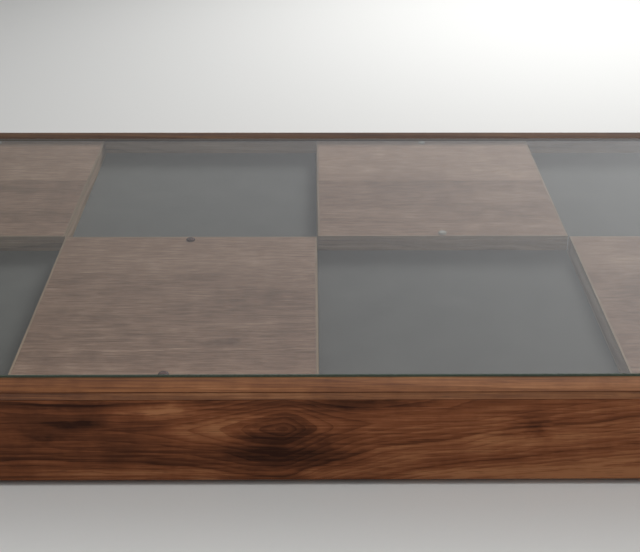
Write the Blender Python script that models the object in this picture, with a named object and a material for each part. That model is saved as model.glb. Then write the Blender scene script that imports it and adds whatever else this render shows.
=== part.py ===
"""A walnut display case, glazed on top: mitred rails under mitred caps, a board laid out in square
cells, lift-out lids on every other cell, felt in the cells between them, and a loose glass top on
clear bumpers.

Metres, +Z up. The origin is on the ground under the middle of the case, X runs along its length
and the front faces -Y.
"""

import math

import bmesh
import bpy

# Plan: a field of square cells inside the frame
CELL = 0.300
COLUMNS = 4
ROWS = 2
RAIL_THICK = 0.026

# Heights, from the ground up
FOOT_TALL = 0.008
FRAME_TALL = 0.104  # rails and caps together
CAP_THICK = 0.0085
GLASS_PROUD = 0.0017  # the glass stands this far above the caps
GLASS_THICK = 0.006
BUMPER_SPACE = 0.002  # between the lids and the glass
LID_PLATE = 0.0045
LID_PLUG = 0.004  # the part of a lid that drops between its box's walls
CELL_DEEP = 0.0185  # from the lids' tops down to the felt
FELT_THICK = 0.0015
BOARD_THICK = 0.009

# Smaller pieces
WALL_THICK = 0.012
CLEAT = 0.020
BEARER_WIDE = 0.040
BLOCK_LEG = 0.045
BLOCK_TALL = 0.040
BUMPER_RADIUS = 0.0053
BUMPER_INSET = 0.008  # from a lid's edge to the middle of its bumper
BUMPER_SIDES = 16
FOOT_RADIUS = 0.0115
FOOT_BEVEL = 0.0015
FOOT_INSET = 0.060
FOOT_SIDES = 24
GLASS_ARRIS = 0.0005

# Clearances
GAP = 0.0003  # between pieces that touch
LID_PLAY = 0.0005  # round a lid, and from a box's wall to the edge of its cell
PLUG_PLAY = 0.0010
GLASS_PLAY = 0.0010  # round the glass, inside the frame

# What follows from those
HALF_LONG = CELL * COLUMNS / 2
HALF_DEEP = CELL * ROWS / 2
RAIL_BOTTOM = FOOT_TALL
FRAME_TOP = RAIL_BOTTOM + FRAME_TALL
CAP_BOTTOM = FRAME_TOP - CAP_THICK
GLASS_BOTTOM = FRAME_TOP + GLASS_PROUD - GLASS_THICK
LID_TOP = GLASS_BOTTOM - BUMPER_SPACE
PLATE_BOTTOM = LID_TOP - LID_PLATE
FELT_TOP = LID_TOP - CELL_DEEP
BOARD_TOP = FELT_TOP - FELT_THICK - GAP
BOARD_BOTTOM = BOARD_TOP - BOARD_THICK
CLEAT_TOP = BOARD_BOTTOM - GAP
CLEAT_BOTTOM = CLEAT_TOP - CLEAT
BLOCK_TOP = CLEAT_BOTTOM - GAP

PALETTE = {
    "walnut": ((0.095, 0.044, 0.022), 0.45),
    "walnut_lid": ((0.170, 0.095, 0.052), 0.45),
    "plywood": ((0.420, 0.290, 0.165), 0.65),
    "softwood": ((0.520, 0.360, 0.190), 0.70),
    "felt": ((0.115, 0.115, 0.112), 0.95),
    "glass": ((0.700, 0.800, 0.770), 0.05),
    "clear_plastic": ((0.800, 0.820, 0.830), 0.20),
    "rubber": ((0.020, 0.020, 0.021), 0.75),
}


def clear_scene():
    for obj in list(bpy.data.objects):
        bpy.data.objects.remove(obj, do_unlink=True)


def make_materials():
    made = {}
    for name, (colour, roughness) in PALETTE.items():
        material = bpy.data.materials.new(name)
        material.use_nodes = True
        shader = material.node_tree.nodes["Principled BSDF"]
        shader.inputs["Base Color"].default_value = (*colour, 1.0)
        shader.inputs["Roughness"].default_value = roughness
        made[name] = material
    return made


def add_object(name, mesh, material, place=(0.0, 0.0, 0.0), parent=None):
    obj = bpy.data.objects.new(name, mesh)
    obj.location = place
    obj.parent = parent
    mesh.materials.append(material)
    bpy.context.scene.collection.objects.link(obj)
    return obj


def add_empty(name, place):
    """A joint's origin, which the pieces that move on it are parented to."""
    empty = bpy.data.objects.new(name, None)
    empty.location = place
    bpy.context.scene.collection.objects.link(empty)
    return empty


def prism_mesh(name, outline, low, high):
    """An outline in the XY plane, counterclockwise from above, extruded from low to high."""
    bm = bmesh.new()
    face = bm.faces.new([bm.verts.new((x, y, low)) for x, y in outline])
    extruded = bmesh.ops.extrude_face_region(bm, geom=[face])["geom"]
    tops = [item for item in extruded if isinstance(item, bmesh.types.BMVert)]
    bmesh.ops.translate(bm, verts=tops, vec=(0.0, 0.0, high - low))
    bmesh.ops.recalc_face_normals(bm, faces=bm.faces)
    mesh = bpy.data.meshes.new(name)
    bm.to_mesh(mesh)
    bm.free()
    return mesh


def rectangle(x_low, x_high, y_low, y_high):
    return [(x_low, y_low), (x_high, y_low), (x_high, y_high), (x_low, y_high)]


def block_mesh(name, x_span, y_span, z_span):
    return prism_mesh(name, rectangle(*x_span, *y_span), *z_span)


def turned_mesh(name, profile, sides):
    """A profile of (radius, height) points, from the axis at the top down to the axis, turned about Z."""
    bm = bmesh.new()
    points = [bm.verts.new((radius, 0.0, height)) for radius, height in profile]
    edges = [bm.edges.new(pair) for pair in zip(points, points[1:])]
    bmesh.ops.spin(
        bm, geom=points + edges, cent=(0, 0, 0), axis=(0, 0, 1), dvec=(0, 0, 0),
        angle=math.tau, steps=sides, use_merge=True,
    )
    bmesh.ops.remove_doubles(bm, verts=bm.verts, dist=1e-6)
    bmesh.ops.recalc_face_normals(bm, faces=bm.faces)
    mesh = bpy.data.meshes.new(name)
    bm.to_mesh(mesh)
    bm.free()
    mesh.shade_smooth()
    mesh.set_sharp_from_angle(angle=math.radians(35))
    return mesh


def mitred_frame(kind, levels, material):
    """Four mitred lengths round the field, with a hair's gap along each mitre."""
    long_outer, deep_outer = HALF_LONG + RAIL_THICK, HALF_DEEP + RAIL_THICK
    shy = GAP / 2
    for end, side in (("front", -1), ("back", 1)):
        outline = [
            (-long_outer + shy, side * deep_outer),
            (long_outer - shy, side * deep_outer),
            (HALF_LONG - shy, side * HALF_DEEP),
            (-HALF_LONG + shy, side * HALF_DEEP),
        ]
        name = f"{kind}_{end}"
        add_object(name, prism_mesh(name, outline[::-side], *levels), material)
    for end, side in (("left", -1), ("right", 1)):
        outline = [
            (side * long_outer, -deep_outer + shy),
            (side * long_outer, deep_outer - shy),
            (side * HALF_LONG, HALF_DEEP - shy),
            (side * HALF_LONG, -HALF_DEEP + shy),
        ]
        name = f"{kind}_{end}"
        add_object(name, prism_mesh(name, outline[::side], *levels), material)


def make_base(plywood, softwood):
    """The board that the cells stand on, and the cleats, bearers and corner blocks under it."""
    long_in, deep_in = HALF_LONG - GAP, HALF_DEEP - GAP
    board = block_mesh("base_board", (-long_in, long_in), (-deep_in, deep_in), (BOARD_BOTTOM, BOARD_TOP))
    add_object("base_board", board, plywood)
    levels = (CLEAT_BOTTOM, CLEAT_TOP)
    for name, side in (("cleat_front", -1), ("cleat_back", 1)):
        across = sorted((side * deep_in, side * (deep_in - CLEAT)))
        add_object(name, block_mesh(name, (-long_in, long_in), across, levels), softwood)
    clear_of_cleats = deep_in - CLEAT - GAP
    for name, side in (("cleat_left", -1), ("cleat_right", 1)):
        across = sorted((side * long_in, side * (long_in - CLEAT)))
        add_object(name, block_mesh(name, across, (-clear_of_cleats, clear_of_cleats), levels), softwood)
    for index in range(1, COLUMNS):
        name = f"bearer_{index}"
        middle = index * CELL - HALF_LONG
        across = (middle - BEARER_WIDE / 2, middle + BEARER_WIDE / 2)
        add_object(name, block_mesh(name, across, (-clear_of_cleats, clear_of_cleats), levels), softwood)


def make_corner_blocks(material):
    """Triangular blocks glued into the mitred corners, under the cleats."""
    for x_name, x_side in (("left", -1), ("right", 1)):
        for y_name, y_side in (("front", -1), ("back", 1)):
            corner_x, corner_y = x_side * (HALF_LONG - GAP), y_side * (HALF_DEEP - GAP)
            outline = [
                (corner_x, corner_y),
                (corner_x - x_side * BLOCK_LEG, corner_y),
                (corner_x, corner_y - y_side * BLOCK_LEG),
            ]
            name = f"corner_block_{y_name}_{x_name}"
            outline = outline[:: x_side * y_side]
            add_object(name, prism_mesh(name, outline, BLOCK_TOP - BLOCK_TALL, BLOCK_TOP), material)


def make_feet(material):
    """Four rubber feet, one near each end of the long rails."""
    profile = [
        (0.0, FOOT_TALL - GAP),
        (FOOT_RADIUS, FOOT_TALL - GAP),
        (FOOT_RADIUS, FOOT_BEVEL),
        (FOOT_RADIUS - FOOT_BEVEL, 0.0),
        (0.0, 0.0),
    ]
    for y_name, y_side in (("front", -1), ("back", 1)):
        for x_name, x_side in (("left", -1), ("right", 1)):
            name = f"foot_{y_name}_{x_name}"
            place = (x_side * (HALF_LONG - FOOT_INSET), y_side * (HALF_DEEP + RAIL_THICK / 2), 0.0)
            add_object(name, turned_mesh(name, profile, FOOT_SIDES), material, place)


def cells():
    """Each cell as (name, centre x, centre y, whether it has a lid)."""
    for row, row_name in enumerate(("front", "back")[:ROWS]):
        for column in range(COLUMNS):
            x = (column + 0.5) * CELL - HALF_LONG
            y = (row + 0.5) * CELL - HALF_DEEP
            yield f"{row_name}_{column + 1}", x, y, (column + row) % 2 == 1


def make_felt(cell, x, y, material):
    name = f"felt_{cell}"
    half = CELL / 2 - LID_PLAY
    mesh = block_mesh(name, (-half, half), (-half, half), (FELT_TOP - FELT_THICK, FELT_TOP))
    add_object(name, mesh, material, (x, y, 0.0))


def make_box_walls(cell, x, y, material):
    """Four walls round a lidded cell. Their outer faces are also the sides of the open cells."""
    outer = CELL / 2 - LID_PLAY
    inner = outer - WALL_THICK
    levels = (BOARD_TOP + GAP, PLATE_BOTTOM - GAP)
    between = (-inner + GAP, inner - GAP)
    spans = {
        "front": ((-outer, outer), (-outer, -inner)),
        "back": ((-outer, outer), (inner, outer)),
        "left": ((-outer, -inner), between),
        "right": ((inner, outer), between),
    }
    for side, (x_span, y_span) in spans.items():
        name = f"box_wall_{cell}_{side}"
        add_object(name, block_mesh(name, x_span, y_span, levels), material, (x, y, 0.0))


def lid_mesh(name):
    """A thin square plate with a smaller square plug under it, its top at z = 0."""
    plate = CELL / 2 - LID_PLAY
    plug = plate - WALL_THICK - PLUG_PLAY
    steps = [(plate, 0.0), (plate, -LID_PLATE), (plug, -LID_PLATE), (plug, -LID_PLATE - LID_PLUG)]
    bm = bmesh.new()
    rings = [[bm.verts.new((x, y, z)) for x, y in rectangle(-half, half, -half, half)] for half, z in steps]
    bm.faces.new(rings[0])
    bm.faces.new(rings[-1])
    for upper, lower in zip(rings, rings[1:]):
        for index in range(4):
            after = (index + 1) % 4
            bm.faces.new([upper[index], upper[after], lower[after], lower[index]])
    bmesh.ops.recalc_face_normals(bm, faces=bm.faces)
    mesh = bpy.data.meshes.new(name)
    bm.to_mesh(mesh)
    bm.free()
    return mesh


def make_lid(cell, x, y, wood, plastic):
    """A lid and its two clear bumpers, on the joint that it lifts off by."""
    joint = add_empty(f"lid_{cell}_joint", (x, y, LID_TOP))
    add_object(f"lid_{cell}", lid_mesh(f"lid_{cell}"), wood, parent=joint)
    reach = CELL / 2 - LID_PLAY - BUMPER_INSET
    crown = BUMPER_SPACE - GAP
    profile = [
        (0.0, crown),
        (BUMPER_RADIUS * 0.55, crown),
        (BUMPER_RADIUS * 0.87, crown * 0.72),
        (BUMPER_RADIUS, GAP),
        (0.0, GAP),
    ]
    for end, side in (("near", -1), ("far", 1)):
        name = f"bumper_{cell}_{end}"
        place = (0.0, side * reach, 0.0)
        add_object(name, turned_mesh(name, profile, BUMPER_SIDES), plastic, place, joint)


def make_glass(material):
    """The loose glass top, with its arrises ground off, on the joint that it lifts off by."""
    joint = add_empty("glass_joint", (0.0, 0.0, GLASS_BOTTOM))
    long_half, deep_half = HALF_LONG - GLASS_PLAY, HALF_DEEP - GLASS_PLAY
    mesh = block_mesh("glass_top", (-long_half, long_half), (-deep_half, deep_half), (0.0, GLASS_THICK))
    glass = add_object("glass_top", mesh, material, parent=joint)
    arris = glass.modifiers.new("ground_arris", "BEVEL")
    arris.width = GLASS_ARRIS
    arris.segments = 1


def main():
    clear_scene()
    materials = make_materials()
    mitred_frame("rail", (RAIL_BOTTOM, CAP_BOTTOM - GAP), materials["walnut"])
    mitred_frame("cap", (CAP_BOTTOM, FRAME_TOP), materials["walnut"])
    make_base(materials["plywood"], materials["softwood"])
    make_corner_blocks(materials["softwood"])
    make_feet(materials["rubber"])
    for cell, x, y, lidded in cells():
        if lidded:
            make_box_walls(cell, x, y, materials["walnut"])
            make_lid(cell, x, y, materials["walnut_lid"], materials["clear_plastic"])
        else:
            make_felt(cell, x, y, materials["felt"])
    make_glass(materials["glass"])


main()
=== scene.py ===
"""The looks of a glazed walnut display case.

The frame is oiled black walnut with a thinner walnut cap mitred round the top. Square cells fill
the field: grey felt lies in the open ones, and veneered walnut lids with solid lippings close the
rest. One sheet of float glass lies loose on small bumpers. Metres, +Z up, the front faces -Y.
"""

import math

import bmesh
import bpy
from mathutils import Matrix, Vector, noise


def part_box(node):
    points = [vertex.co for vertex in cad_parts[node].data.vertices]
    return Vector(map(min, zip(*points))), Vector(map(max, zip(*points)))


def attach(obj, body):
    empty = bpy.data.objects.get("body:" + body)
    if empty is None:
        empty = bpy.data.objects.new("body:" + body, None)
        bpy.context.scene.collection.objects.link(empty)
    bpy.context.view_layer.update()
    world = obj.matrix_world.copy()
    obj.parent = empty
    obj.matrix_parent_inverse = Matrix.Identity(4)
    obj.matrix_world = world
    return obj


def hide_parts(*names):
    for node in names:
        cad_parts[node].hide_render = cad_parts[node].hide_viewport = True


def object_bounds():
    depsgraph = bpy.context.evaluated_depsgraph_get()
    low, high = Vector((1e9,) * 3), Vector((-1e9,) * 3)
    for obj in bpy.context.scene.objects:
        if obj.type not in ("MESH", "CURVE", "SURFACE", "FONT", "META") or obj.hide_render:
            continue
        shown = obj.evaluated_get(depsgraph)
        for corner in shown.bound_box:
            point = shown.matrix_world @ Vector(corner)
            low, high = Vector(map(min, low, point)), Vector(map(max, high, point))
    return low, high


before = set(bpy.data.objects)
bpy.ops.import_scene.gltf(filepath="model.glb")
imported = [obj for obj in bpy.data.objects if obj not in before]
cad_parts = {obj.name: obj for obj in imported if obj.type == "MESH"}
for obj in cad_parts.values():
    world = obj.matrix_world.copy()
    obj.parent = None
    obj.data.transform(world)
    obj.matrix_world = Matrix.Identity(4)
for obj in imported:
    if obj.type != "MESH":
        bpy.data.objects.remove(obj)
cad_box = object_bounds()

MM = 0.001
LIDDED = ("front_2", "front_4", "back_1", "back_3")
OPEN = ("front_1", "front_3", "back_2", "back_4")

ARRIS = 0.7 * MM  # the easing sanded on the edges that hands touch
HAIRLINE = 0.06 * MM  # a tight glue line
SEAM = 0.55 * MM  # the shadow line between a rail and its cap
SEAM_DEEP = 1.6 * MM
CAD_GAP = 0.3 * MM  # what the CAD leaves between pieces that touch
CONTACT = 0.02 * MM  # a gap too fine to see
CUT_ARRIS = 0.3 * MM
SAWN_ARRIS = 0.8 * MM
BOARD_ARRIS = 0.2 * MM
LIPPING_WIDE = 2.4 * MM
LIPPING_GROOVE = 0.15 * MM
LIPPING_ARRIS = 0.25 * MM
PANEL_ARRIS = 0.1 * MM
PLUG_INSET = 13.0 * MM  # how far a lid's plug stands in from the lid's edge
DOME_TURN = 0.86 * math.pi / 2  # a bumper's side turns this far before its flat crown
DOME_CROWN = 0.42  # share of a bumper's radius that its crown keeps
FELT_SPARE = 0.4 * MM  # how much more of its cell the felt fills than in the CAD
FELT_WAVE = 0.12 * MM  # how far the felt's face wanders
FELT_EDGE = 0.35 * MM  # how far its cut edge is pressed down
FELT_GRID = 60
GLASS_ARRIS = 0.5 * MM
GLASS_CORNER = 2.0 * MM
# the arris slot carries walnut painted darker, as shade along the rounded edges
PLAIN, ARRIS_SHADE, LINED = range(3)  # material slots of a rail or cap
CLEAR, GROUND = range(2)  # material slots of the glass

CAMERA_PLACE = (-0.0086, -1.1907, 0.7158)
CAMERA_PITCH = math.radians(28.50)
CAMERA_YAW = math.radians(0.57)  # to the right
CAMERA_ROLL = math.radians(0.19)
CAMERA_LENS = 63.05  # mm, on a 36 mm wide sensor
CAMERA_SHIFT = -0.015625

# the far wall from left to right, and the rest of the room
WALL_TONES = [(0.0, "#8c8c89"), (0.5, "#bdbdbf"), (1.0, "#f1f1f3")]
ROOM_TONE = "#606060"
WINDOW_WATTS = 20.0
FRONT_WATTS = 11.5
BACKDROP_WATTS = 1.8
FLOOR_WATTS = 4.6


# ---------------------------------------------------------------- helpers


def linear(code):
    """An sRGB hex colour as linear RGBA."""
    values = [int(code[i : i + 2], 16) / 255 for i in (1, 3, 5)]
    return (*[v / 12.92 if v <= 0.04045 else ((v + 0.055) / 1.055) ** 2.4 for v in values], 1.0)


def add_node(tree, kind, inputs=(), **settings):
    """Adds a node. Its inputs are named in a dict or given in order, each as a number, a vector, a
    colour, the socket that feeds it, or a node, whose first output then feeds it."""
    node = tree.nodes.new(f"ShaderNode{kind}")
    for name, value in settings.items():
        setattr(node, name, value)
    for key, value in inputs.items() if isinstance(inputs, dict) else enumerate(inputs):
        if isinstance(value, bpy.types.Node):
            value = value.outputs[0]
        if isinstance(value, bpy.types.NodeSocket):
            tree.links.new(value, node.inputs[key])
        else:
            node.inputs[key].default_value = value
    return node


def new_material(name):
    """An empty material, and the tree its nodes go in."""
    material = bpy.data.materials.new(name)
    material.use_nodes = True
    material.node_tree.nodes.clear()
    return material, material.node_tree


def set_ramp(node, stops):
    """Stops as (position, hex colour or grey value)."""
    elements = node.color_ramp.elements
    while len(elements) < len(stops):
        elements.new(0.5)
    for element, (position, tone) in zip(elements, stops):
        element.position = position
        element.color = linear(tone) if isinstance(tone, str) else (tone, tone, tone, 1.0)


def add_piece(name, bm, material, body, replaced=()):
    """A mesh made here, which rides on a body and may stand for CAD nodes."""
    bmesh.ops.recalc_face_normals(bm, faces=bm.faces)
    mesh = bpy.data.meshes.new(name)
    bm.to_mesh(mesh)
    bm.free()
    mesh.materials.append(material)
    piece = bpy.data.objects.new(name, mesh)
    bpy.context.scene.collection.objects.link(piece)
    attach(piece, body)
    if replaced:
        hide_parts(*replaced)
    return piece


# ---------------------------------------------------------------- wood


def oiled_walnut(name, axes, tones, shift=(0, 0, 0), tilt=0.05, ring_mm=5.0, boards_mm=None,
                 eye=None, marks=(), figure=1.0, fibrous=0.7, fibre_mm=(110, 2.4),
                 shimmering=0.3, shine=0.1):
    """Black walnut, planed and oiled: broad brown bands, fine ring lines and dark open pores.

    axes names the object axes that run along the grain, across the face and into the board. The
    rings are circles round a pith that drifts out of the board by tilt, so that a flat-sawn face
    shows nested arches. An eye, (along, across, half length, half height), is a bulge in the tree
    that the saw has cut through: closed ovals, with the grain parting round them, rising a little
    on the far side and running straight again beyond. A mark, (along, across, half length, half
    height, lightness), is a soft patch of paler or darker wood. Boards are glued side by side
    where boards_mm gives their width. figure, fibrous and shimmering say how strongly the rings,
    the fibres and the changing sheen show.
    """
    material, tree = new_material(name)
    place = add_node(tree, "TexCoord")
    split = add_node(tree, "SeparateXYZ", [place.outputs["Object"]])
    along, across, depth = (split.outputs[axis] for axis in axes)
    unbroken_along = along
    if boards_mm:
        shifted = add_node(tree, "Math", (across, shift[1]), operation="ADD")
        boards = add_node(tree, "Math", (shifted, boards_mm * MM), operation="DIVIDE")
        board = add_node(tree, "Math", [boards], operation="FLOOR")
        board_tone = add_node(tree, "TexWhiteNoise", {"W": board}, noise_dimensions="1D")
        along = add_node(tree, "Math", (board_tone, 3.0, along), operation="MULTIPLY_ADD")
        depth = add_node(tree, "Math", (board_tone, 0.09, depth), operation="MULTIPLY_ADD")
    position = add_node(tree, "CombineXYZ", (along, across, depth))

    fibre_long, fibre_wide = (1000 / size for size in fibre_mm)
    clouds, swings = {}, {}
    for cloud, scale, detail, roughness in (
        ("torn", (26.0, 70.0, 70.0), 3.0, 0.6),
        ("wander", (2.6, 9.0, 9.0), 2.0, 0.5),
        ("ripple", (11.0, 40.0, 40.0), 3.0, 0.5),
        ("fibre", (fibre_long, fibre_wide, fibre_wide), 3.0, 0.6),
        ("blotch", (7.0, 22.0, 22.0), 2.0, 0.5),
        ("shimmer", (38.0, 26.0, 26.0), 3.0, 0.6),
        ("pore", (55.0, 900.0, 900.0), 1.0, 0.5),
    ):
        stretched = add_node(tree, "Mapping", {"Vector": position, "Scale": scale})
        clouds[cloud] = add_node(tree, "TexNoise", {
            "Vector": stretched, "Scale": 1.0, "Detail": detail, "Roughness": roughness,
        })
        swings[cloud] = add_node(tree, "Math", (clouds[cloud], 0.5), operation="SUBTRACT")

    torn_along = add_node(tree, "Math", (swings["torn"], 0.09, unbroken_along), operation="MULTIPLY_ADD")
    torn_across = add_node(tree, "Math", (swings["torn"], 0.016, across), operation="MULTIPLY_ADD")
    torn = add_node(tree, "CombineXYZ", (torn_along, torn_across))
    patches = 0.0
    for mark_along, mark_across, half_length, half_height, lightness in marks:
        from_middle = add_node(tree, "Mapping", {
            "Vector": torn, "Location": (mark_along * MM, mark_across * MM, 0.0),
            "Scale": (half_length * MM, half_height * MM, 1.0),
        }, vector_type="TEXTURE")
        square = add_node(tree, "VectorMath", (from_middle, from_middle), operation="DOT_PRODUCT")
        falling = add_node(tree, "Math", (square.outputs["Value"], -1.0), operation="MULTIPLY")
        bell = add_node(tree, "Math", [falling], operation="EXPONENT")
        patches = add_node(tree, "Math", (bell, lightness, patches), operation="MULTIPLY_ADD")

    bent = add_node(tree, "Math", (across, shift[1]), operation="ADD")
    bent = add_node(tree, "Math", (swings["wander"], 0.055 * figure, bent), operation="MULTIPLY_ADD")
    bent = add_node(tree, "Math", (swings["ripple"], 0.020 * figure, bent), operation="MULTIPLY_ADD")
    if eye:
        eye_along, eye_across, half_length, half_height = (value * MM for value in eye)
        pointed = 1.5
        from_eye = add_node(tree, "Math", (along, eye_along), operation="SUBTRACT")
        beyond = add_node(tree, "Math", (from_eye, 0.0, 0.05), operation="SMOOTH_MAX")
        rise = add_node(tree, "Math", (beyond, 0.15), operation="MULTIPLY")
        bent = add_node(tree, "Math", (bent, eye_across + shift[1]), operation="SUBTRACT")
        bent = add_node(tree, "Math", (bent, rise), operation="SUBTRACT")
        share = add_node(tree, "Math", (from_eye, half_length), operation="DIVIDE")
        far_side = add_node(tree, "Math", (share, 0.0), operation="MAXIMUM")
        reach = add_node(tree, "Math", (far_side, 0.9, share), operation="MULTIPLY_ADD")
        closing = add_node(tree, "Math", [reach], operation="TANH")
        drift = add_node(tree, "Math", (closing, half_height), operation="MULTIPLY")
    else:
        pointed = 2.0
        down = add_node(tree, "Math", (depth, shift[2]), operation="ADD")
        grain_along = add_node(tree, "Math", (along, shift[0]), operation="ADD")
        drift = add_node(tree, "Math", (grain_along, tilt, down), operation="MULTIPLY_ADD")
    squares = []
    for leg in (bent, drift):
        length = add_node(tree, "Math", [leg], operation="ABSOLUTE")
        squares.append(add_node(tree, "Math", (length, pointed), operation="POWER"))
    both = add_node(tree, "Math", squares, operation="ADD")
    ring = add_node(tree, "Math", (both, 1 / pointed), operation="POWER")

    counted = add_node(tree, "Math", (ring, 1000 / (ring_mm * 2.6)), operation="MULTIPLY")
    band = add_node(tree, "TexNoise", {
        "W": counted, "Scale": 1.0, "Detail": 2.5, "Roughness": 0.6,
    }, noise_dimensions="1D")
    years = add_node(tree, "Math", (ring, 1000 / ring_mm, clouds["wander"]), operation="MULTIPLY_ADD")
    season = add_node(tree, "Math", [years], operation="FRACT")
    line = add_node(tree, "ValToRGB", [season])
    set_ramp(line, [(0.0, 0.75), (0.35, 0.55), (0.80, 0.30), (0.93, 0.0), (1.0, 0.7)])
    pore = add_node(tree, "ValToRGB", [clouds["pore"]])
    set_ramp(pore, [(0.27, 0.0), (0.42, 1.0)])

    band_swing = add_node(tree, "Math", (band, 0.5), operation="SUBTRACT")
    line_swing = add_node(tree, "Math", (line, 0.5), operation="SUBTRACT")
    patchy = add_node(tree, "Math", (clouds["shimmer"], 2.0), operation="MULTIPLY")
    patchy_fibre = add_node(tree, "Math", (swings["fibre"], patchy), operation="MULTIPLY")
    shares = [(band_swing, 1.35 * figure), (line_swing, 0.32 * figure), (patchy_fibre, fibrous),
              (swings["shimmer"], shimmering), (swings["blotch"], 0.55 * figure)]
    if boards_mm:
        shares.append((add_node(tree, "Math", (board_tone, 0.5), operation="SUBTRACT"), 0.35))
    tone = add_node(tree, "Math", (patches, 0.5), operation="ADD")
    for swing, share in shares:
        tone = add_node(tree, "Math", (swing, share, tone), operation="MULTIPLY_ADD")

    colour = add_node(tree, "ValToRGB", [tone])
    set_ramp(colour, list(zip((0.08, 0.36, 0.60, 0.92), tones)))
    open_pore = add_node(tree, "Math", (pore, -0.35, 0.35), operation="MULTIPLY_ADD")
    pored = add_node(tree, "Mix", {"Factor": open_pore, 6: colour, 7: linear(tones[0])}, data_type="RGBA")
    height = add_node(tree, "Math", (clouds["fibre"], 0.4, pore), operation="MULTIPLY_ADD")
    bump = add_node(tree, "Bump", {"Strength": 0.35, "Distance": 0.05 * MM, "Height": height})
    shader = add_node(tree, "BsdfPrincipled", {
        "Base Color": pored.outputs[2],
        "Roughness": add_node(tree, "Math", (clouds["fibre"], 0.16, 0.34), operation="MULTIPLY_ADD"),
        "Specular IOR Level": shine,
        "IOR": 1.47,
        "Normal": bump,
    })
    add_node(tree, "OutputMaterial", {"Surface": shader})
    return material


# walnut's tones, each set from the dark latewood to the pale bands between
HEARTWOOD = ("#31180c", "#5c341f", "#804b2e", "#a8714c")
CAP_WALNUT = ("#3d200f", "#683e24", "#8a5936", "#ab7851")
# painted shade: SHADED_WALNUT is the cap walnut made darker and greyer, for the far cap seen at a grazing
# angle
SHADED_WALNUT = ("#33211a", "#4b3427", "#614733", "#795c44")
VENEER = ("#674d3e", "#846655", "#967866", "#ae907d")
# painted shade: a darker walnut for the rounded arrises of rails and caps, standing in for their shade
# and dim reflection
ARRIS_SHADE_WALNUT = ("#351d11", "#54321f", "#6b4229", "#825438")
LIPPING_WALNUT = ("#745f4e", "#86705d", "#99826e", "#ac9580")
PALE_WALNUT = ("#6a5240", "#876d5a", "#9a806b", "#b39a84")

# soft patches, as marks of oiled_walnut: stains, knots' shadows, pale lines, clouds and one painted sheen
# on the front rail
FRONT_MARKS = (
    (-250, 98, 75, 3, -0.20), (40, 98, 50, 4, -0.38), (-243, 74, 24, 6, -0.35),
    # the pale mark at (-150, 91) is a painted sheen, reflected light laid into the wood's colour
    (-264, 59, 16, 7, -0.30), (-150, 91, 26, 7, 0.45), (-34, 56, 36, 28, -0.34),
    (-60, 42, 80, 12, -0.18), (209, 68, 12, 14, -0.25), (-60, 17, 260, 6, 0.20),
    (270, 14, 130, 8, 0.38), (290, 55, 230, 60, 0.27), (-100, 70, 30, 16, 0.20),
)
# the front cap's marks make it darker towards its left end and paler from the middle to the right
CAP_MARKS = ((170, -313, 330, 40, 0.07), (-330, -313, 130, 40, -0.12))
LID_MARKS = {
    "front_2": [(-150, -292, 260, 15, 0.20), (-88, -233, 30, 5, -0.30), (-150, -248, 170, 1.6, 0.30),
                (-160, -226, 150, 1.4, 0.20), (-60, -140, 34, 26, -0.14), (-110, -60, 60, 14, 0.12)],
    "back_3": [(130, 170, 60, 34, -0.16), (235, 110, 46, 24, 0.16), (80, 60, 90, 12, 0.14)],
    "front_4": [(400, -60, 60, 30, 0.10), (380, -150, 50, 20, -0.12)],
    "back_1": [(-420, 230, 80, 24, -0.10), (-400, 90, 60, 26, 0.10)],
}


def pale_timber(name, axes, light, dark, ring_mm):
    """Knot-free softwood or the birch face of plywood, sanded and left bare: straight pale grain."""
    material, tree = new_material(name)
    place = add_node(tree, "TexCoord")
    split = add_node(tree, "SeparateXYZ", {0: place.outputs["Object"]})
    scales = dict(zip(axes, (1.2, 1000 / ring_mm, 1000 / ring_mm)))
    scaled = {
        axis: add_node(tree, "Math", {0: split.outputs[axis], 1: scales[axis]},
                       operation="MULTIPLY").outputs[0]
        for axis in "XYZ"
    }
    vector = add_node(tree, "CombineXYZ", {0: scaled["X"], 1: scaled["Y"], 2: scaled["Z"]})
    rings = add_node(tree, "TexNoise", {
        "Vector": vector.outputs[0], "Scale": 0.5, "Detail": 3.0, "Roughness": 0.55,
    })
    fibre = add_node(tree, "TexNoise", {
        "Vector": vector.outputs[0], "Scale": 9.0, "Detail": 2.0, "Roughness": 0.5,
    })
    both = add_node(tree, "Math", {
        0: rings.outputs["Fac"], 1: 0.75, 2: fibre.outputs["Fac"],
    }, operation="MULTIPLY_ADD")
    colour = add_node(tree, "ValToRGB", {"Fac": both.outputs[0]})
    set_ramp(colour, [(0.62, dark), (1.05, light)])
    bump = add_node(tree, "Bump", {
        "Strength": 0.3, "Distance": 0.08 * MM, "Height": fibre.outputs["Fac"],
    })
    shader = add_node(tree, "BsdfPrincipled", {
        "Base Color": colour.outputs["Color"], "Roughness": 0.68, "Normal": bump.outputs[0],
    })
    add_node(tree, "OutputMaterial", {"Surface": shader})
    return material


# ---------------------------------------------------------------- other materials


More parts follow.
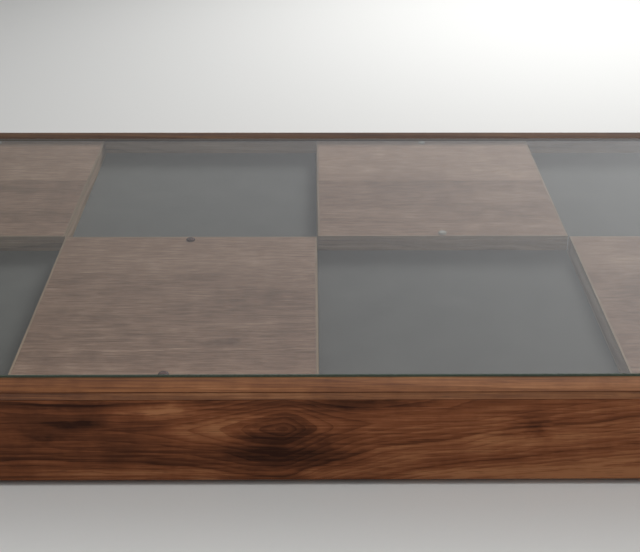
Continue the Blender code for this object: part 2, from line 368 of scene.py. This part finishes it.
def pressed_felt():
    """Grey pressed wool felt, 1.5 mm: matted fibres with no weave, and a soft bloom at a low angle."""
    material, tree = new_material("pressed_felt")
    place = add_node(tree, "TexCoord")
    fibres = add_node(tree, "TexNoise", {
        "Vector": place.outputs["Object"], "Scale": 1000 / 0.9, "Detail": 3.0, "Roughness": 0.7,
        "Distortion": 1.2,
    })
    clumps = add_node(tree, "TexNoise", {
        "Vector": place.outputs["Object"], "Scale": 1000 / 45, "Detail": 3.0,
    })
    both = add_node(tree, "Math", {
        0: clumps.outputs["Fac"], 1: 0.55, 2: fibres.outputs["Fac"],
    }, operation="MULTIPLY_ADD")
    colour = add_node(tree, "ValToRGB", {"Fac": both.outputs[0]})
    set_ramp(colour, [(0.50, "#393633"), (0.78, "#44413e"), (1.05, "#524f4b")])
    bump = add_node(tree, "Bump", {
        "Strength": 0.5, "Distance": 0.18 * MM, "Height": fibres.outputs["Fac"],
    })
    shader = add_node(tree, "BsdfPrincipled", {
        "Base Color": colour.outputs["Color"], "Roughness": 0.95, "Specular IOR Level": 0.2,
        "Sheen Weight": 0.25, "Sheen Roughness": 0.6, "Normal": bump.outputs[0],
    })
    add_node(tree, "OutputMaterial", {"Surface": shader})
    return material


def float_glass():
    """Clear float glass: colourless face on, sea green where the eye looks along it."""
    material, tree = new_material("float_glass")
    shader = add_node(tree, "BsdfPrincipled", {
        "Base Color": (0.99, 0.99, 0.99, 1.0), "Roughness": 0.0, "IOR": 1.52,
        "Transmission Weight": 1.0,
    })
    lets_light = add_node(tree, "BsdfTransparent", {"Color": (0.93, 0.94, 0.935, 1.0)})
    path = add_node(tree, "LightPath")
    soft = add_node(tree, "Math", {
        0: path.outputs["Is Shadow Ray"], 1: path.outputs["Is Diffuse Ray"],
    }, operation="MAXIMUM")
    mixed = add_node(tree, "MixShader", {
        0: soft.outputs[0], 1: shader.outputs[0], 2: lets_light.outputs[0],
    })
    tint = add_node(tree, "VolumeAbsorption", {
        "Color": (0.35, 0.80, 0.66, 1.0), "Density": 3.5,
    })
    add_node(tree, "OutputMaterial", {
        "Surface": mixed.outputs[0], "Volume": tint.outputs[0],
    })
    return material


def ground_glass_edge():
    """The float glass's ground edge: matt sea green from outside, and from inside the sheet a painted
    brown that stands for the frame seen through it. Light that crosses it comes out dim and green."""
    material, tree = new_material("ground_glass_edge")
    place = add_node(tree, "TexCoord")
    grinding = add_node(tree, "TexNoise", {
        "Vector": place.outputs["Object"], "Scale": 1000 / 1.5, "Detail": 2.0,
    })
    outside = add_node(tree, "ValToRGB", {"Fac": grinding.outputs["Fac"]})
    set_ramp(outside, [(0.35, "#5d6a5f"), (0.65, "#6f7d71")])
    # from inside the sheet the edge is painted brown, a painted view of the frame beyond it
    geometry = add_node(tree, "NewGeometry")
    colour = add_node(tree, "Mix", {
        "Factor": geometry.outputs["Backfacing"], 6: outside.outputs["Color"], 7: linear("#75614f"),
    }, data_type="RGBA")
    shader = add_node(tree, "BsdfPrincipled", {
        "Base Color": colour.outputs[2], "Roughness": 0.4, "IOR": 1.52,
    })
    lets_light = add_node(tree, "BsdfTransparent", {"Color": (0.12, 0.42, 0.38, 1.0)})
    path = add_node(tree, "LightPath")
    mixed = add_node(tree, "MixShader", {
        0: path.outputs["Is Shadow Ray"], 1: shader.outputs[0], 2: lets_light.outputs[0],
    })
    add_node(tree, "OutputMaterial", {"Surface": mixed})
    return material


def moulded_polyurethane(name, tones, clear):
    """Moulded polyurethane, as self-adhesive bumpers are: glossy, with a faint inner haze."""
    material, tree = new_material(name)
    place = add_node(tree, "TexCoord")
    haze = add_node(tree, "TexNoise", {
        "Vector": place.outputs["Object"], "Scale": 1000 / 3, "Detail": 2.0,
    })
    colour = add_node(tree, "ValToRGB", {"Fac": haze.outputs["Fac"]})
    set_ramp(colour, list(zip((0.3, 0.7), tones)))
    shader = add_node(tree, "BsdfPrincipled", {
        "Base Color": colour.outputs["Color"], "Roughness": 0.18, "IOR": 1.5,
        "Transmission Weight": clear,
    })
    add_node(tree, "OutputMaterial", {"Surface": shader})
    return material


def moulded_rubber():
    """Black rubber feet, straight from the mould: dull, with a fine orange-peel skin."""
    material, tree = new_material("moulded_rubber")
    place = add_node(tree, "TexCoord")
    skin = add_node(tree, "TexNoise", {
        "Vector": place.outputs["Object"], "Scale": 1000 / 0.8, "Detail": 2.0,
    })
    colour = add_node(tree, "ValToRGB", {"Fac": skin.outputs["Fac"]})
    set_ramp(colour, [(0.3, "#1c1c1c"), (0.7, "#2b2b2a")])
    bump = add_node(tree, "Bump", {
        "Strength": 0.4, "Distance": 0.05 * MM, "Height": skin.outputs["Fac"],
    })
    shader = add_node(tree, "BsdfPrincipled", {
        "Base Color": colour.outputs["Color"], "Roughness": 0.72, "Normal": bump.outputs[0],
    })
    add_node(tree, "OutputMaterial", {"Surface": shader})
    return material


# ---------------------------------------------------------------- pieces


def arc_corner(corner, along_in, along_out, radius, steps=3):
    """Points that round a corner between two directions, each a unit (u, v) pair."""
    points = []
    for step in range(steps + 1):
        angle = math.pi / 2 * step / steps
        back, ahead = radius * (1 - math.sin(angle)), radius * (1 - math.cos(angle))
        points.append((
            corner[0] - along_in[0] * back + along_out[0] * ahead,
            corner[1] - along_in[1] * back + along_out[1] * ahead,
        ))
    return points


def rail_profile(low, high, thick, eased):
    """A rail's section as (distance in from its outer face, height). eased names its soft corners."""
    corners = (
        ("outer_low", (0.0, low), (-1, 0), (0, 1)),
        ("outer_high", (0.0, high), (0, 1), (1, 0)),
        ("inner_high", (thick, high), (1, 0), (0, -1)),
        ("inner_low", (thick, low), (0, -1), (-1, 0)),
    )
    points = []
    for name, corner, along_in, along_out in corners:
        if name in eased:
            points += arc_corner(corner, along_in, along_out, ARRIS)
        else:
            points.append(corner)
    return points


def grooved(profile, high):
    """The rail's section with a shadow line cut along its outer top edge, under the cap."""
    place = profile.index((0.0, high))
    return (profile[:place] + [(0.0, high - SEAM), (SEAM_DEEP, high - SEAM), (SEAM_DEEP, high)]
            + profile[place + 1 :])


def mitred_length(node, profile, material, arris_shade, lining):
    """A rail or cap on its CAD node's place, cut at 45 degrees, with arrises painted darker as shade and
    a pale inside.
    """
    side = node.split("_")[-1]
    turned = side in ("left", "right")
    sign = 1 if side in ("back", "right") else -1
    long_outer, deep_outer = cad_box[1].x, cad_box[1].y
    outer, half = (long_outer, deep_outer) if turned else (deep_outer, long_outer)
    bm = bmesh.new()
    rings = []
    for end in (-1, 1):
        ring = []
        for inward, height in profile:
            across = sign * (outer - inward)
            along = end * (half - inward - HAIRLINE)
            place = (across, along, height) if turned else (along, across, height)
            ring.append(bm.verts.new(place))
        rings.append(ring)
    count = len(profile)
    depth = max(inward for inward, height in profile)
    slots = []
    for index in range(count):
        after = (index + 1) % count
        bm.faces.new([rings[0][index], rings[0][after], rings[1][after], rings[1][index]])
        (inward, height), (next_inward, next_height) = profile[index], profile[after]
        # the rounded arris faces take the walnut painted darker as shade
        if inward != next_inward and height != next_height:
            slots.append(ARRIS_SHADE)
        else:
            slots.append(LINED if inward == next_inward == depth else PLAIN)
    bm.faces.new(rings[0])
    bm.faces.new(rings[1])
    piece = add_piece(f"{node}_eased", bm, material, "case", [node])
    piece.data.materials.append(arris_shade)
    piece.data.materials.append(lining)
    for polygon, slot in zip(piece.data.polygons, slots):
        polygon.material_index = slot
    piece.data.shade_smooth()
    piece.data.set_sharp_from_angle(angle=math.radians(50))


def bevelled_slab(bm, low, high, arris):
    """A box with every edge broken by a narrow round."""
    made = bmesh.ops.create_cube(bm, size=1.0)["verts"]
    size = Vector(high) - Vector(low)
    middle = (Vector(high) + Vector(low)) / 2
    for vert in made:
        vert.co = Vector((vert.co.x * size.x, vert.co.y * size.y, vert.co.z * size.z)) + middle
    edges = list({edge for vert in made for edge in vert.link_edges})
    bmesh.ops.bevel(bm, geom=edges, offset=arris, segments=2, affect="EDGES", profile=0.6)


def make_lid(cell, veneer, lipping_along, lipping_across):
    """A veneered panel and plug in one, with four solid lippings mitred round its edge."""
    node = f"lid_{cell}"
    low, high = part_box(node)
    plate_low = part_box(f"box_wall_{cell}_front")[1].z + CAD_GAP
    panel_in = LIPPING_WIDE + LIPPING_GROOVE
    bm = bmesh.new()
    for inset, bottom, top, arris in (
        (panel_in, plate_low, high.z, PANEL_ARRIS),
        (PLUG_INSET, low.z, plate_low + PANEL_ARRIS, CUT_ARRIS),
    ):
        near_corner = (low.x + inset, low.y + inset, bottom)
        bevelled_slab(bm, near_corner, (high.x - inset, high.y - inset, top), arris)
    add_piece(f"{node}_panel", bm, veneer, node, [node])
    middle = (low + high) / 2
    half = (high - low) / 2
    for side, turned, sign in (
        ("front", False, -1), ("back", False, 1), ("left", True, -1), ("right", True, 1),
    ):
        bm = bmesh.new()
        rings = []
        for end in (-1, 1):
            ring = []
            for inward, height in rail_profile(plate_low, high.z, LIPPING_WIDE, ()):
                soft = LIPPING_ARRIS if inward == 0.0 and height == high.z else 0.0
                outer = (half.x if turned else half.y) - inward - soft
                length = (half.y if turned else half.x) - inward - HAIRLINE
                pair = (sign * outer, end * length)
                x, y = pair if turned else pair[::-1]
                ring.append(bm.verts.new((middle.x + x, middle.y + y, height)))
            rings.append(ring)
        for index in range(4):
            after = (index + 1) % 4
            bm.faces.new([rings[0][index], rings[0][after], rings[1][after], rings[1][index]])
        bm.faces.new(rings[0])
        bm.faces.new(rings[1])
        add_piece(f"{node}_lipping_{side}", bm, lipping_across if turned else lipping_along, node,
                  [node])


def rounded_rectangle(low, high, inset, radius, steps=4):
    """Points round a rectangle, anticlockwise from its right-hand near corner."""
    points = []
    corners = ((high.x, low.y, -90), (high.x, high.y, 0), (low.x, high.y, 90), (low.x, low.y, 180))
    for x, y, start in corners:
        centre_x = x - math.copysign(radius, x)
        centre_y = y - math.copysign(radius, y)
        for step in range(steps + 1):
            angle = math.radians(start + 90 * step / steps)
            points.append((centre_x + (radius - inset) * math.cos(angle),
                           centre_y + (radius - inset) * math.sin(angle)))
    return points


def make_glass(clear, ground):
    """The loose sheet: clear faces, with a ground edge, eased arrises and dubbed corners."""
    low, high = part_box("glass_top")
    bm = bmesh.new()
    rings = []
    for height, inset in ((low.z, GLASS_ARRIS), (low.z + GLASS_ARRIS, 0.0),
                          (high.z - GLASS_ARRIS, 0.0), (high.z, GLASS_ARRIS)):
        outline = rounded_rectangle(low, high, inset, GLASS_CORNER)
        rings.append([bm.verts.new((x, y, height)) for x, y in outline])
    for lower, upper in zip(rings, rings[1:]):
        for index in range(len(lower)):
            after = (index + 1) % len(lower)
            bm.faces.new([lower[index], lower[after], upper[after], upper[index]])
    bm.faces.new(rings[0])
    bm.faces.new(rings[-1])
    piece = add_piece("glass_sheet", bm, clear, "glass", ["glass_top"])
    piece.data.materials.append(ground)
    for polygon in piece.data.polygons:
        polygon.material_index = CLEAR if abs(polygon.normal.z) > 0.99 else GROUND


def make_bumper(cell, end, material):
    """A low dome with a flat crown, which the glass rests on."""
    node = f"bumper_{cell}_{end}"
    low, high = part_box(node)
    middle = (low + high) / 2
    radius = (high.x - low.x) / 2
    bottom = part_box(f"lid_{cell}")[1].z + CONTACT
    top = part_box("glass_top")[0].z - CONTACT
    sides, rises = 32, 7
    bm = bmesh.new()
    rings = []
    for rise in range(rises):
        angle = DOME_TURN * rise / (rises - 1)
        reach = radius * (DOME_CROWN + (1 - DOME_CROWN) * math.cos(angle))
        height = bottom + (top - bottom) * math.sin(angle) / math.sin(DOME_TURN)
        rings.append([
            bm.verts.new((middle.x + reach * math.cos(math.tau * i / sides),
                          middle.y + reach * math.sin(math.tau * i / sides), height))
            for i in range(sides)
        ])
    for lower, upper in zip(rings, rings[1:]):
        for i in range(sides):
            after = (i + 1) % sides
            bm.faces.new([lower[i], lower[after], upper[after], upper[i]])
    bm.faces.new(rings[0])
    bm.faces.new(rings[-1])
    piece = add_piece(f"{node}_dome", bm, material, f"lid_{cell}", [node])
    piece.data.shade_smooth()
    piece.data.set_sharp_from_angle(angle=math.radians(60))


def make_felt(cell, material):
    """A felt square laid in an open cell: not quite flat, with a soft cut edge."""
    node = f"felt_{cell}"
    low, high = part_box(node)
    low_x, low_y = low.x - FELT_SPARE, low.y - FELT_SPARE
    high_x, high_y = high.x + FELT_SPARE, high.y + FELT_SPARE
    bm = bmesh.new()
    layers = []
    for level in (0, 1):  # the underside, then the face
        rows = []
        for row in range(FELT_GRID + 1):
            line = []
            for column in range(FELT_GRID + 1):
                x = low_x + (high_x - low_x) * column / FELT_GRID
                y = low_y + (high_y - low_y) * row / FELT_GRID
                edge = min(column, row, FELT_GRID - column, FELT_GRID - row) == 0
                wave = FELT_WAVE * noise.noise(Vector((x * 14, y * 14, 3.7)))
                top = high.z - FELT_WAVE + wave - (FELT_EDGE if edge else 0.0)
                line.append(bm.verts.new((x, y, top if level else low.z)))
            rows.append(line)
        layers.append(rows)
    for rows in layers:
        for row in range(FELT_GRID):
            for column in range(FELT_GRID):
                bm.faces.new([rows[row][column], rows[row][column + 1],
                              rows[row + 1][column + 1], rows[row + 1][column]])
    below, above = layers
    rim = [(0, c) for c in range(FELT_GRID)] + [(r, FELT_GRID) for r in range(FELT_GRID)]
    rim += [(FELT_GRID, c) for c in range(FELT_GRID, 0, -1)] + [(r, 0) for r in range(FELT_GRID, 0, -1)]
    for (row, column), (next_row, next_column) in zip(rim, rim[1:] + rim[:1]):
        bm.faces.new([below[row][column], below[next_row][next_column],
                      above[next_row][next_column], above[row][column]])
    piece = add_piece(f"{node}_laid", bm, material, "case", [node])
    piece.data.shade_smooth()
    piece.data.set_sharp_from_angle(angle=math.radians(60))


def dress(node, material, arris):
    """A CAD node whose shape is right gets its material and a sanded edge."""
    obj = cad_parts[node]
    obj.data.materials.clear()
    obj.data.materials.append(material)
    weld = obj.modifiers.new("weld", "WELD")
    weld.merge_threshold = 0.01 * MM
    soft = obj.modifiers.new("arris", "BEVEL")
    soft.width = arris
    soft.segments = 2
    soft.limit_method = "ANGLE"
    soft.angle_limit = math.radians(30)


def make_frame(wall_along, wall_across):
    """The four rails and the mitred cap over them, with a shadow line between the two."""
    rail_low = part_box("rail_front")[0].z
    cap_low, cap_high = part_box("cap_front")[0].z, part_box("cap_front")[1].z
    thick = cad_box[1].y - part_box("base_board")[1].y - CAD_GAP
    seam_height = cap_low - HAIRLINE
    rail = grooved(rail_profile(rail_low, seam_height, thick, ("outer_low", "inner_low")), seam_height)
    cap = rail_profile(cap_low, cap_high, thick, ("outer_high", "inner_high"))
    # painted shade: the arrises of rails and caps get a darker walnut
    arris_shade = oiled_walnut("walnut_arris_painted_shade", "XYZ", ARRIS_SHADE_WALNUT, figure=0.4, fibrous=0.4)

    rail_looks = {
        "front": dict(shift=(0.3, 0.2, 0.1), ring_mm=5.4, eye=(-34, 63, 84, 31), marks=FRONT_MARKS,
                      figure=0.75, fibrous=0.65),
        "back": dict(shift=(0.8, 0.5, 0.3), eye=(210, 48, 330, 34), figure=0.7, fibrous=0.8),
        "left": dict(shift=(1.7, 0.9, 0.2), eye=(90, 60, 210, 30), figure=0.65, fibrous=0.8),
        "right": dict(shift=(2.9, 1.4, 0.6), eye=(-150, 42, 240, 30), figure=0.65, fibrous=0.8),
    }
    cap_looks = {
        "front": dict(tones=CAP_WALNUT, shift=(3.1, 0.40, -0.07), shine=0.35, marks=CAP_MARKS),
        # the far cap wears the cap walnut painted in shade
        "back": dict(tones=SHADED_WALNUT, shift=(4.6, -0.25, -0.09)),
        "left": dict(tones=CAP_WALNUT, shift=(5.2, 0.70, -0.08), shine=0.35),
        "right": dict(tones=CAP_WALNUT, shift=(6.4, -0.52, -0.08), shine=0.35),
    }
    for side, looks in rail_looks.items():
        turned = side in ("left", "right")
        wood = oiled_walnut(f"walnut_{side}_rail", "YZX" if turned else "XZY", HEARTWOOD, **looks)
        mitred_length(f"rail_{side}", rail, wood, arris_shade, wall_across if turned else wall_along)
    for side, looks in cap_looks.items():
        axes = "YXZ" if side in ("left", "right") else "XYZ"
        wood = oiled_walnut(f"walnut_{side}_cap", axes, tilt=0.03, ring_mm=6.0, figure=0.5, **looks)
        mitred_length(f"cap_{side}", cap, wood, arris_shade, wood)


def make_lids(wall_along, wall_across):
    """The lids with their bumpers, and the box of walls that each one closes."""
    lip_along = oiled_walnut("walnut_lipping_along", "XYZ", LIPPING_WALNUT, (0.4, 0.5, 0.3),
                             tilt=0.02, ring_mm=4.0, figure=0.5)
    lip_across = oiled_walnut("walnut_lipping_across", "YXZ", LIPPING_WALNUT, (0.9, 0.5, 0.3),
                              tilt=0.02, ring_mm=4.0, figure=0.5)
    clear_plastic = moulded_polyurethane("clear_polyurethane", ("#d6cdc2", "#e6ded4"), 0.5)
    aged_plastic = moulded_polyurethane("aged_polyurethane", ("#3c1712", "#54261f"), 0.05)
    for index, cell in enumerate(LIDDED):
        shift = (0.7 * index, 0.09, 0.05 + 0.02 * index)
        veneer = oiled_walnut(f"walnut_veneer_{cell}", "XYZ", VENEER, shift, ring_mm=5.5, boards_mm=126,
                              figure=0.16, fibrous=1.1, fibre_mm=(26, 2.1), shimmering=0.55,
                              marks=LID_MARKS[cell])
        make_lid(cell, veneer, lip_along, lip_across)
        for end in ("near", "far"):
            make_bumper(cell, end, aged_plastic if cell == "front_2" else clear_plastic)
        for side in ("front", "back"):
            dress(f"box_wall_{cell}_{side}", wall_along, CUT_ARRIS)
        for side in ("left", "right"):
            dress(f"box_wall_{cell}_{side}", wall_across, CUT_ARRIS)


def make_carcase():
    """What carries the rest: board, cleats, bearers, corner blocks and feet."""
    dress("base_board", pale_timber("birch_plywood", "XYZ", "#d9c3a0", "#c2a77f", 9.0), BOARD_ARRIS)
    along, across, upright = (
        pale_timber(f"softwood_{run}", axes, "#dcc197", "#b8935f", 3.0)
        for run, axes in (("along", "XYZ"), ("across", "YXZ"), ("upright", "ZXY"))
    )
    rubber = moulded_rubber()
    for side in ("front", "back"):
        dress(f"cleat_{side}", along, SAWN_ARRIS)
        for hand in ("left", "right"):
            dress(f"corner_block_{side}_{hand}", upright, SAWN_ARRIS)
            dress(f"foot_{side}_{hand}", rubber, CUT_ARRIS)
    for name in ("cleat_left", "cleat_right", "bearer_1", "bearer_2", "bearer_3"):
        dress(name, across, SAWN_ARRIS)


def make_pieces():
    """Every piece of the case. The paler walnut lines the cells all round."""
    wall_along = oiled_walnut("walnut_wall_along", "XZY", PALE_WALNUT, (1.1, 0.2, 0.4), tilt=0.02)
    wall_across = oiled_walnut("walnut_wall_across", "YZX", PALE_WALNUT, (2.1, 0.3, 0.7), tilt=0.02)
    make_frame(wall_along, wall_across)
    make_lids(wall_along, wall_across)
    felt = pressed_felt()
    for cell in OPEN:
        make_felt(cell, felt)
    make_glass(float_glass(), ground_glass_edge())
    make_carcase()


# ---------------------------------------------------------------- studio


def make_camera():
    """A long lens close to the middle of the front, looking down on the glass at a low angle."""
    data = bpy.data.cameras.new("camera")
    data.lens = CAMERA_LENS
    data.sensor_width = 36.0
    data.shift_y = CAMERA_SHIFT
    data.clip_start = 0.05
    ahead = Vector((
        math.sin(CAMERA_YAW) * math.cos(CAMERA_PITCH),
        math.cos(CAMERA_YAW) * math.cos(CAMERA_PITCH),
        -math.sin(CAMERA_PITCH),
    ))
    level = Vector((math.cos(CAMERA_YAW), -math.sin(CAMERA_YAW), 0.0))
    rise = level.cross(ahead)
    right = math.cos(CAMERA_ROLL) * level + math.sin(CAMERA_ROLL) * rise
    up = math.cos(CAMERA_ROLL) * rise - math.sin(CAMERA_ROLL) * level
    camera = bpy.data.objects.new("camera", data)
    turn = Matrix((right, up, -ahead)).transposed().to_4x4()
    camera.matrix_world = Matrix.Translation(CAMERA_PLACE) @ turn
    bpy.context.scene.collection.objects.link(camera)
    bpy.context.scene.camera = camera


def make_light(name, place, target, size, watts, spread=180):
    """A soft box that lights the case but isn't seen, neither directly nor in the glass."""
    data = bpy.data.lights.new(name, "AREA")
    data.shape = "RECTANGLE"
    data.size, data.size_y = size
    data.energy = watts
    data.spread = math.radians(spread)
    light = bpy.data.objects.new(name, data)
    light.location = place
    light.rotation_euler = (Vector(target) - Vector(place)).to_track_quat("-Z", "Y").to_euler()
    light.visible_camera = light.visible_glossy = light.visible_transmission = False
    bpy.context.scene.collection.objects.link(light)


def make_floor():
    """Matt white paper floor, wide enough to run out of sight."""
    bm = bmesh.new()
    bmesh.ops.create_grid(bm, x_segments=8, y_segments=8, size=9.0)
    mesh = bpy.data.meshes.new("floor")
    bm.to_mesh(mesh)
    bm.free()
    material, tree = new_material("matt_white_floor")
    shader = add_node(tree, "BsdfPrincipled", {
        "Base Color": linear("#e2e2e0"), "Roughness": 0.9, "Specular IOR Level": 0.1,
    })
    add_node(tree, "OutputMaterial", {"Surface": shader})
    mesh.materials.append(material)
    floor = bpy.data.objects.new("floor", mesh)
    bpy.context.scene.collection.objects.link(floor)


def make_room():
    """A pale wall beyond the case, brighter to the right, and a dimmer room on every other side."""
    world = bpy.data.worlds.new("pale_room")
    bpy.context.scene.world = world
    world.use_nodes = True
    tree = world.node_tree
    tree.nodes.clear()
    place = add_node(tree, "TexCoord")
    split = add_node(tree, "SeparateXYZ", {0: place.outputs["Generated"]})
    sideways = add_node(tree, "MapRange", {
        "Value": split.outputs["X"], "From Min": -0.32, "From Max": 0.30,
    })
    wall = add_node(tree, "ValToRGB", {"Fac": sideways.outputs[0]})
    set_ramp(wall, WALL_TONES)
    beyond = add_node(tree, "MapRange", {
        "Value": split.outputs["Y"], "From Min": 0.15, "From Max": 0.65,
    }, interpolation_type="SMOOTHSTEP")
    room = add_node(tree, "Mix", {
        "Factor": beyond.outputs[0], 6: linear(ROOM_TONE), 7: wall.outputs["Color"],
    }, data_type="RGBA")
    background = add_node(tree, "Background", {"Color": room.outputs[2]})
    add_node(tree, "OutputWorld", {"Surface": background.outputs[0]})


def make_studio():
    """A window behind the case, and soft boxes for its front, the floor behind and the floor before."""
    make_floor()
    make_room()
    make_light("window", (0.95, 2.85, 1.36), (0.0, 0.0, 0.1), (1.1, 0.8), WINDOW_WATTS, spread=80)
    make_light("front", (0.2, -1.45, 1.7), (0.0, -0.5, 0.0), (2.6, 1.4), FRONT_WATTS)
    make_light("backdrop", (0.85, 1.1, 1.2), (0.85, 1.1, 0.0), (1.5, 1.0), BACKDROP_WATTS, spread=90)
    make_light("floor", (0.0, -0.80, 1.1), (0.0, -0.80, 0.0), (2.8, 0.5), FLOOR_WATTS, spread=60)


make_camera()
make_pieces()
make_studio()
bpy.context.scene.view_settings.view_transform = "Standard"

bpy.context.view_layer.update()
